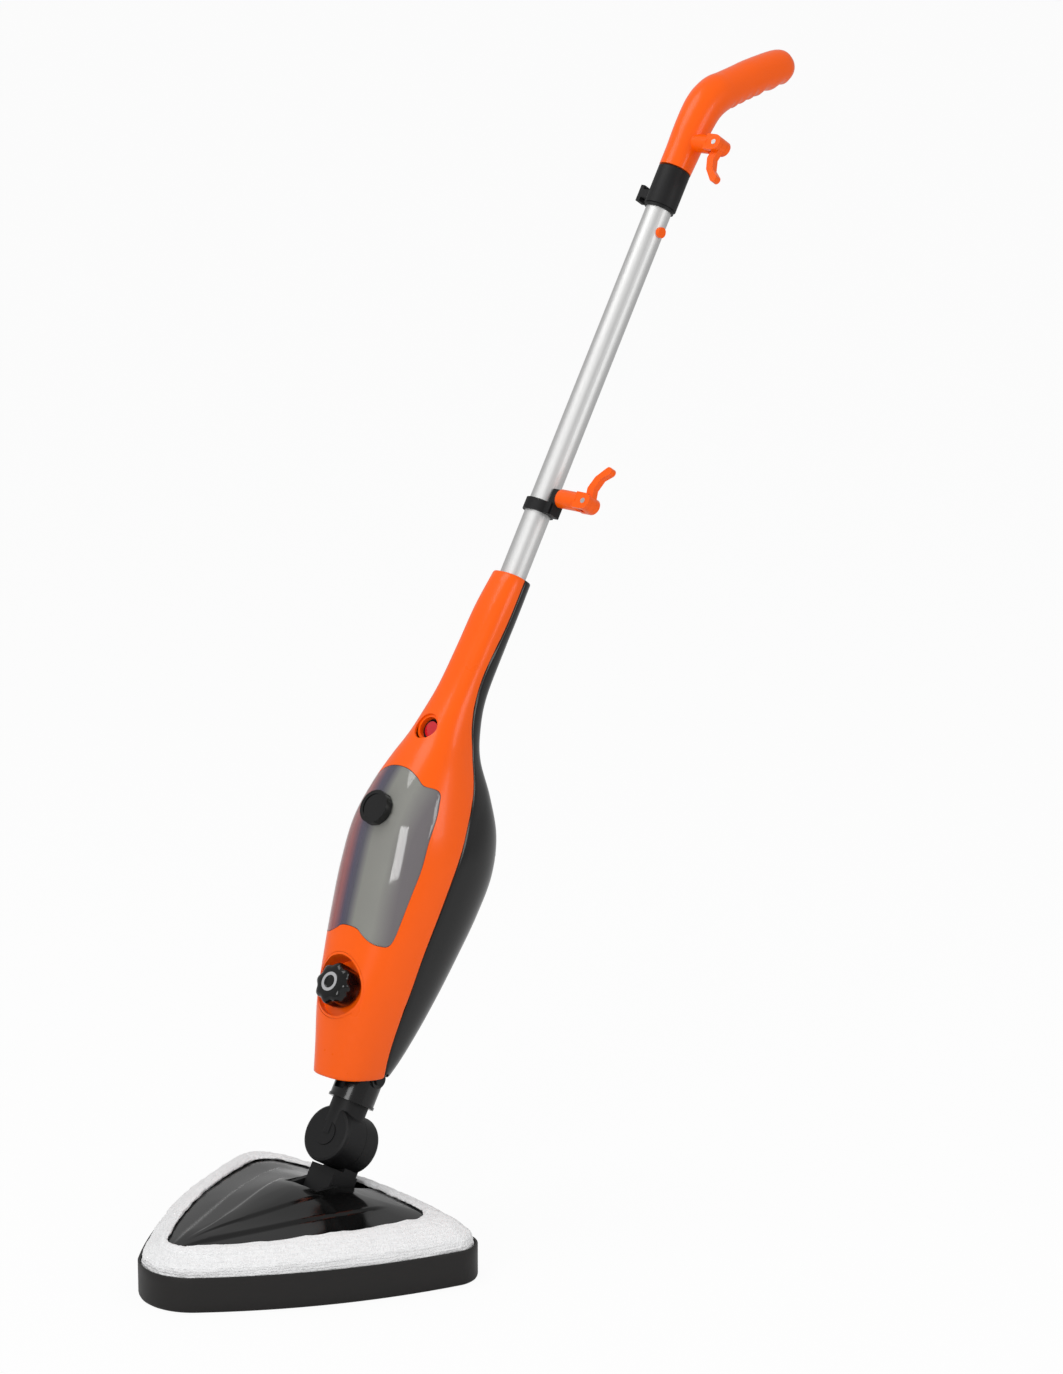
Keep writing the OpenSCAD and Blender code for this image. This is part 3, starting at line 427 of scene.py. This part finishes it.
terry = {"tufts": 0.75, "wave": 1.1, "seed": 7, "clearance": 0.3, "roughRings": 67}
inset, rim = head["inset"], head["rim"]
outside, inside = inset - head["padSide"], inset - terry["clearance"]
padRings = between([
    edgeRing(9, 2.9), edgeRing(outside + 0.6, 4.2), edgeRing(outside, 8), edgeRing(outside, 20),
    edgeRing(outside, 31), bandRing(outside + 0.3, 0.02, 37), bandRing(outside, 0.10, 43.2),
    bandRing(inset, 0.25, rim + 9.4), bandRing(inset, 0.5, rim + 12.6), bandRing(inset, 0.8, rim + 14.4),
    bandRing(inset, 0.97, rim + 14.4), bandRing(inset, 1.03, rim + 12.9), bandRing(inset, 0.98, rim + 11.9),
], 6)
padRings += [bandRing(inset, 0.5, rim + 8.4), bandRing(inset, 0.12, rim + 4.6),
             edgeRing(inside, rim - 2), edgeRing(inside, 8.9)]
pad = skin("mopPad", padRings, floorFrame)
noise.seed_set(terry["seed"])
shape = bmesh.new()
shape.from_mesh(pad.data)
shape.normal_update()
moves = []
for v in shape.verts:
    p = v.co / mm
    top = smooth((p.z - 7) / 6)
    tuft = noise.noise(p * 0.42) + 0.6 * noise.noise(p * 0.95)
    wave = noise.noise(p * 0.05) + 0.5 * noise.noise(p * 0.13)
    moves.append(v.normal * (tuft * terry["tufts"] + wave * terry["wave"]) * top * mm)
roughPoints = terry["roughRings"] * len(padRings[0])
for v, move in zip(shape.verts, moves):
    if v.index < roughPoints or v.co.z > 0.05:
        v.co += move
shape.to_mesh(pad.data)
shape.free()
finished(pad, "terry", "floor_head", "mop_pad", angle=80)
print("pad done")

# ---- head cover ----

# Place along the head and half width there
blade = [(-190, 1.5), (-175, 4), (-136, 20), (-63, 50), (-11, 68), (20, 74)]
crease = [(-170, 1), (-120, 6), (-50, 24), (-10, 33), (20, 36)]


def relief(x, y):  # raised blade from the tip and a crease beside it
    if y < -186:
        return 0.0
    halfWidth = tableAt(blade, y, 1)
    up = 1 - smooth((abs(x) - halfWidth + 2.2) / 2.6)
    along = smooth((y + 178) / 40) * (1 - smooth((y + 8) / 26))
    inner = tableAt(crease, y, 1)
    spine = (1 - smooth((abs(x) - inner + 1.6) / 2.2)) * smooth((y + 160) / 50) * (1 - smooth((y + 34) / 20))
    return 2.0 * up * along + 1.3 * spine


bulge = {"height": 6.5, "across": 46, "along": 42, "ahead": 26}   # the rise round the hinge


def raised(x, y, z):
    if z <= rim + 3:
        return x, y, z
    rise = math.exp(-(x / bulge["across"])**2 - ((y + bulge["ahead"]) / bulge["along"])**2)
    return x, y, z + (relief(x, y) + bulge["height"] * rise)


coverTop = head["crownHeight"]
coverRings = [edgeRing(inset, head["base"]), edgeRing(inset, 24), edgeRing(inset, rim - 2)] + between(
    [bandRing(inset, 0.12, rim + 4), bandRing(inset, 0.5, rim + 7.6), bandRing(inset, 1, rim + 11.2),
     crownRing(0.7, coverTop - 4), crownRing(0.42, coverTop - 1), crownRing(0.15, coverTop)], 16)
coverRings = [[raised(*point) for point in ring] for ring in coverRings]
n = len(coverRings[0])
points = [p for ring in coverRings for p in ring]
faces = [[j*n + i, (j+1)*n + i, (j+1)*n + (i+1) % n, j*n + (i+1) % n]
         for j in range(len(coverRings) - 1) for i in range(n)]
faces.append([(len(coverRings) - 1)*n + i for i in range(n)][::-1])
cover = meshPiece("headCover", points, faces, floorFrame)
modified(cover, "SOLIDIFY", thickness=2.2 * mm, offset=-1)
slotPlan = [(-21.6, -24.4), (21.6, -24.4), (21.6, 53.6), (-21.6, 53.6)]
slot = skin("yokeSlot", [[(x, y, z) for x, y in slotPlan] for z in (20, 80)], floorFrame)
finished(cutBy(cover, slot), "glossBlack", "floor_head", "head_cover", angle=30)
print("cover done")

# ---- body shells ----

# Height up the pole, half width, half depth, depth of the centre
sections = [
    (100, 25, 24, 30), (132, 32, 36.1, 31), (171, 40, 47.4, 35.6), (212, 48, 53.5, 38.9),
    (253, 54, 59.1, 42.5), (294, 57, 65.3, 45.8), (333, 56, 68.8, 49), (368, 49, 63.4, 52.9),
    (398, 40, 48.9, 61.4), (422, 31, 34.2, 69.9), (441, 26, 27.6, 73.3), (472, 21, 21.2, 75.2),
    (513, 19.5, 19, 74.5), (553, 19, 18.2, 73.2), (590, 17, 16.2, 70.4),
]
# Height up the pole, depth of the joint between the shells
seam = [
    (100, 14), (125, 20.4), (163, 30.6), (202, 40), (240, 48.6), (283, 53.5), (317, 55.3), (355, 55.6),
    (391, 56), (426, 64), (445, 71), (465, 75), (494, 77), (534, 73), (590, 69.5),
]
body = {"low": 107, "high": 590, "roundness": 2.6, "footSlope": 0.42, "wall": 2.3, "tubeBore": 12.45}


def power(v):
    return math.copysign(abs(v) ** (2 / body["roundness"]), v)


def wallPoint(z, a, t):
    return ((tableAt(sections, z, 1) - t) * power(math.cos(a)),
            -(tableAt(sections, z, 3) + (tableAt(sections, z, 2) - t) * power(math.sin(a))), z)


def bodyPoint(z, a, t):
    k = body["footSlope"] * clamp(1 - (z - body["low"]) / 75)
    p = wallPoint(z, a, t)
    q = wallPoint(z + k * (p[1] + 57), a, t)
    return q[0], q[1], z + k * (q[1] + 57)


def seamAngle(z):
    v = (tableAt(seam, z, 1) - tableAt(sections, z, 3)) / tableAt(sections, z, 2)
    return math.copysign(math.asin(min(abs(v), 1) ** (body["roundness"] / 2)), v)


def innerPoint(z, a):
    x, y, height = bodyPoint(z, a, body["wall"])
    k = clamp((z - body["high"] + 12) / 8)
    r = body["tubeBore"]
    return mix(x, r * math.cos(a), k), mix(y, -stance["poleAxis"] - r * math.sin(a), k), height


def halfShell(name, way, steps=72):
    heights = [body["low"] + v for v in (0, 0.5, 1.2)] + [body["low"] + 4 + 4.5 * i for i in range(105)]
    heights = [z for z in heights if z < 587] + [588.6, 589.5, 590]
    rings = []
    for z in heights:
        edge = max(0, 1 - (z - body["low"]) / 1.2, (z - 588.6) / 1.4) ** 2 * 0.9
        s = seamAngle(z)
        g = math.asin(0.15 / tableAt(sections, z, 1))
        step = 0.55 / tableAt(sections, z, 1)
        a0, a1 = (s + g, math.pi - s - g) if way > 0 else (s - g, -math.pi - s + g)
        turn = 1 if a1 > a0 else -1
        outer = [bodyPoint(z, a0, 0.8 + edge), bodyPoint(z, a0 + turn * step, 0.22 + edge)]
        b0, b1 = a0 + turn * 2 * step, a1 - turn * 2 * step
        outer += [bodyPoint(z, mix(b0, b1, i / steps), edge) for i in range(steps + 1)]
        outer += [bodyPoint(z, a1 - turn * step, 0.22 + edge), bodyPoint(z, a1, 0.8 + edge)]
        rings.append(outer + [innerPoint(z, mix(a1, a0, i / steps)) for i in range(steps + 1)])
    return skin(name, rings, poleFrame)


# Half outline of the tank from the front: across, and up the pole
tankHalf = [
    (0, 239), (10, 238), (17, 234), (25, 230.5), (34, 230), (41, 235), (45, 259), (49, 302),
    (48.4, 330), (46.5, 349), (43, 366), (39, 377), (30, 376.5), (22, 382), (12, 386.5), (0, 388),
]


def tankOutline(d, steps=5):
    half = []
    for j in range(len(tankHalf) - 1):
        p, a, b, q = (tankHalf[max(j - 1, 0)] if j else (-10, 238), tankHalf[j], tankHalf[j + 1],
                      tankHalf[j + 2] if j + 2 < len(tankHalf) else (-12, 386.5))
        for k in range(steps):
            w = curveWeights(k / steps)
            half.append(tuple(w[0]*p[i] + w[1]*a[i] + w[2]*b[i] + w[3]*q[i] for i in (0, 1)))
    half.append(tankHalf[-1])
    grown = []
    for x, z in half:
        length = math.hypot(x, z - 305)
        grown.append((x * (1 + d / length), 305 + (z - 305) * (1 + d / length)))
    return grown + [(-x, z) for x, z in grown[-2:0:-1]]


cutters = {"dish": 29.3, "dishHeight": 186, "switch": 12.7, "switchHeight": 431, "sleeve": 20.95,
           "neckDepth": -13.2}


def rod(r, y0, y1, z, x=0.0, steps=64):
    return turned("rod", [(r, y0), (r, y1)], poleFrame, (x, 0, z), "y", steps)


def footCut():
    return [turned("footBore", [(cutters["sleeve"], 60), (cutters["sleeve"], 140.5)], poleFrame,
                   (0, cutters["neckDepth"], 0), "z"),
            turned("buttonBore", [(8.3, 0), (8.3, 29)], poleFrame, (0, cutters["neckDepth"], 123), "x")]


front = halfShell("frontShell", 1)
cutBy(front, *footCut(), prism("tankWindow", tankOutline(0.4), -30, -150),
      rod(cutters["dish"], -40, -140, cutters["dishHeight"]),
      rod(cutters["switch"], -76, -140, cutters["switchHeight"]))
finished(front, "orange", "main_unit", "front_shell", angle=40)
print("front shell done")

rear = halfShell("rearShell", -1)
gap = [(-8.3, 504.7), (8.3, 504.7), (8.3, 535.3), (-8.3, 535.3)]
holes = []
for x, z in [(-24, 166), (24, 166), (-36, 232), (36, 232), (-38, 350), (38, 350)]:
    e = body["roundness"]
    across = (1 - (abs(x) / tableAt(sections, z, 1)) ** e) ** (1 / e)
    back = -tableAt(sections, z, 3) + tableAt(sections, z, 2) * across
    holes.append(rod(3, back + 8, back - 5.2, z, x, 32))
cutBy(rear, *footCut(), rod(6.1, 60, -10, 160), prism("triggerGap", gap, -65, -35), *holes)
finished(rear, "shellBlack", "main_unit", "rear_shell", angle=40)
print("rear shell done")

# ---- water tank ----

tankBack = -tableAt(sections, 344, 3) - tableAt(sections, 344, 2) + 46
fillerFace = tankBack - 52


def tankSolid(name, t, d):
    rings = []
    for i in range(72):
        z = 224 + t + i * (168 - 2 * t) / 71
        v = (-tankBack - tableAt(sections, z, 3) + t) / tableAt(sections, z, 2)
        s = math.copysign(math.asin(min(abs(v), 0.9) ** (body["roundness"] / 2)), v)
        rings.append([wallPoint(z, mix(s, math.pi - s, k / 60), t) for k in range(61)])
    solid = skin(name, rings, poleFrame)
    window = prism("tankSides", tankOutline(d), 0, -150)
    modified(solid, "BOOLEAN", operation="INTERSECT", solver="EXACT", object=window)
    bpy.data.objects.remove(window)
    return solid


tank = tankSolid("waterTank", 0.0, -0.1)
neck = rod(12.9, fillerFace + 18, fillerFace, 344)
modified(tank, "BOOLEAN", operation="UNION", solver="EXACT", object=neck)
bpy.data.objects.remove(neck)
cutBy(tank, tankSolid("tankInside", 2.0, -2.0), rod(10.9, fillerFace + 22, fillerFace - 5, 344))
finished(tank, "smokeAndPaintedReflections", "main_unit", "water_tank", angle=40)
print("tank done")

# ---- steam knob ----

knobShape = {"radius": 19.5, "height": 186, "back": -73.5, "lobes": 8}
knobProfile = [  # smaller radius by, distance from the back, share of the lobes
    (1.5, 0, 0), (0.4, -0.6, 0), (0, -1.6, 0.1), (0, -4, 0.4), (0, -6, 1), (0, -16, 1), (0.3, -18, 1),
    (1.1, -19.6, 0.95), (2.6, -20.8, 0.7), (4.6, -21.6, 0.35), (6.6, -22, 0), (9.9, -22, 0),
    (10.3, -21.6, 0), (10.4, -21.0, 0),
]
knobRings = []
for smaller, depth, lobe in knobProfile:
    ring = []
    for i in range(160):
        a = 2 * math.pi * i / 160
        r = knobShape["radius"] - smaller - (0.5 - 0.5 * math.cos(knobShape["lobes"] * a)) * 2.1 * lobe
        r -= (1 - lobe) * 1.2
        ring.append((r * math.cos(a), knobShape["back"] + depth, knobShape["height"] + r * math.sin(a)))
    knobRings.append(ring)
knob = skin("steamKnob", knobRings, poleFrame)
shaft = rod(3, knobShape["back"] + 30, knobShape["back"] - 1, knobShape["height"])
modified(knob, "BOOLEAN", operation="UNION", solver="EXACT", object=shaft)
bpy.data.objects.remove(shaft)
finished(knob, "glossBlack", "steam_knob", "steam_knob", angle=40)

# ---- grip ----

gripLine = [(0, 0, 0), (-0.8, 20, 0.6), (-1.4, 45, 1.6), (-4.4, 68, 2.6), (-12, 84, 3), (-21.7, 94, 2.6),
            (-35.5, 108, 2.2), (-49.8, 122, 2.3), (-75.4, 145, 1.4), (-84, 151.5, -2.5), (-89, 155, -9)]
grip = {"radius": 15.5, "start": 1000, "armHeight": 1030, "armReach": 41, "hookRadius": 8.7, "eyeRadius": 7.6}


def gripAt(t, column):
    return tableAt([(i, *row) for i, row in enumerate(gripLine)], t, column)


rings = []
for j in range(130):
    t = mix(0.06, 10, j / 129)
    p = Vector((gripAt(t, 1), gripAt(t, 2)))
    d = Vector((gripAt(t + 0.2, 1) - gripAt(t - 0.1, 1), gripAt(t + 0.2, 2) - gripAt(t - 0.1, 2))).normalized()
    r = grip["radius"] + gripAt(t, 3)
    dip = 2.6 * math.sin(math.radians(300 * (t - 4.5))) ** 2 if 4.5 < t < 8.7 else 0
    ring = []
    for i in range(48):
        a = 2 * math.pi * i / 48
        v = (r - dip * max(0, -math.sin(a))) * math.sin(a)
        ring.append((r * math.cos(a), -stance["poleAxis"] - (p[0] + v * d[1]), grip["start"] + p[1] - v * d[0]))
    rings.append(ring)
lastRing = rings[-1]
centre = [sum(c) / len(lastRing) for c in zip(*lastRing)]
onward = Vector((0, -d[0], d[1]))
for k in range(1, 6):
    a = math.pi / 2 * k / 6
    rings.append([tuple(mix(centre[i], c[i], math.cos(a)) + onward[i] * 3.4 * math.sin(a) for i in range(3))
                  for c in lastRing])
grips = skin("handleGrip", rings, poleFrame)
armAxis = (0, -stance["poleAxis"], grip["armHeight"])
armProfile = [(grip["hookRadius"], 11), (grip["hookRadius"], 31.9)]
arm = turned("gripArm", armProfile, poleFrame, armAxis, "x", 48)
eye = grip["eyeRadius"]
forkTurns = [math.radians(b) for b in range(-90, 91, 10)]
forkEnd = [(10.6 + eye * math.cos(b), eye * math.sin(b)) for b in forkTurns]
forkRings = [[(grip["armReach"] - 10.6 + u, -stance["poleAxis"] + y, grip["armHeight"] + w)
              for u, w in [(0, -7.7), *forkEnd, (0, 7.7)]] for y in (-8.3, 8.3)]
fork = skin("gripFork", forkRings, poleFrame)
for extra in (arm, fork):
    modified(grips, "BOOLEAN", operation="UNION", solver="EXACT", object=extra)
    bpy.data.objects.remove(extra)
eyeGap = rod(9.8, 3.6 - stance["poleAxis"], -3.6 - stance["poleAxis"], grip["armHeight"], grip["armReach"])
pinBore = rod(2.5, 20 - stance["poleAxis"], -20 - stance["poleAxis"], grip["armHeight"], grip["armReach"], 32)
collarBore = turned("collarBore", [(12.4, 999), (12.4, 1016)], poleFrame, (0, -stance["poleAxis"], 0), "z")
cutBy(grips, eyeGap, pinBore, collarBore)
finished(grips, "orange", "main_unit", "handle_grip", angle=40)
print("grip done")

# ---- floor, light, camera ----

bpy.ops.mesh.primitive_plane_add(size=30, location=(0, 0, 0))
floor = bpy.context.active_object
floor.name = "floor"
ground = Finish("paleFloor")
rays = ground.node("LightPath", output="Is Camera Ray")
paint = ground.node("BsdfDiffuse", {}, {"Color": (0.82, 0.82, 0.82)})
glow = ground.node("Emission", {}, {"Color": (1, 1, 1), "Strength": 1.0})
blend = ground.node("MixShader", {}, [rays * 0.94, paint, glow])
ground.tree.links.new(blend.socket, ground.tree.nodes["Material Output"].inputs["Surface"])
floor.data.materials.append(ground.material)

world = bpy.data.worlds.new("paleRoom")
world.use_nodes = True
sky = world.node_tree
back = sky.nodes["Background"]
seen = sky.nodes.new("ShaderNodeBackground")
seen.inputs["Color"].default_value = (1, 1, 1, 1)
back.inputs["Color"].default_value = (0.55, 0.55, 0.55, 1)
path = sky.nodes.new("ShaderNodeLightPath")
either = sky.nodes.new("ShaderNodeMixShader")
sky.links.new(path.outputs["Is Camera Ray"], either.inputs[0])
sky.links.new(back.outputs[0], either.inputs[1])
sky.links.new(seen.outputs[0], either.inputs[2])
sky.links.new(either.outputs[0], sky.nodes["World Output"].inputs["Surface"])
bpy.context.scene.world = world

lamps = {  # place, size, power
    "key": ((1.0, -2.6, 1.7), 1.2, 30),
    "fill": ((2.6, 0.9, 1.3), 1.0, 13),
    "over": ((-0.6, -0.6, 2.6), 1.2, 16),
}
for name, (place, size, watts) in lamps.items():
    bpy.ops.object.light_add(type="AREA", location=place)
    lamp = bpy.context.active_object
    lamp.name = name
    lamp.data.size = size
    lamp.data.energy = watts
    lamp.rotation_mode = "QUATERNION"
    lamp.rotation_quaternion = (Vector((0, 0.2, 0.5)) - Vector(place)).to_track_quat("-Z", "Y")

view = {"place": (2.7923, -2.5172, 1.4342), "azimuth": 45.07, "elevation": 13.64, "lens": 115.69}
around, above = math.radians(view["azimuth"]), math.radians(view["elevation"])
away = Vector((math.sin(around) * math.cos(above), -math.cos(around) * math.cos(above), math.sin(above)))
bpy.ops.object.camera_add(location=view["place"])
camera = bpy.context.active_object
camera.rotation_mode = "QUATERNION"
camera.rotation_quaternion = (-away).to_track_quat("-Z", "Y")
camera.data.lens = view["lens"]
camera.data.sensor_width = 36
bpy.context.scene.camera = camera
bpy.context.scene.view_settings.view_transform = "Standard"
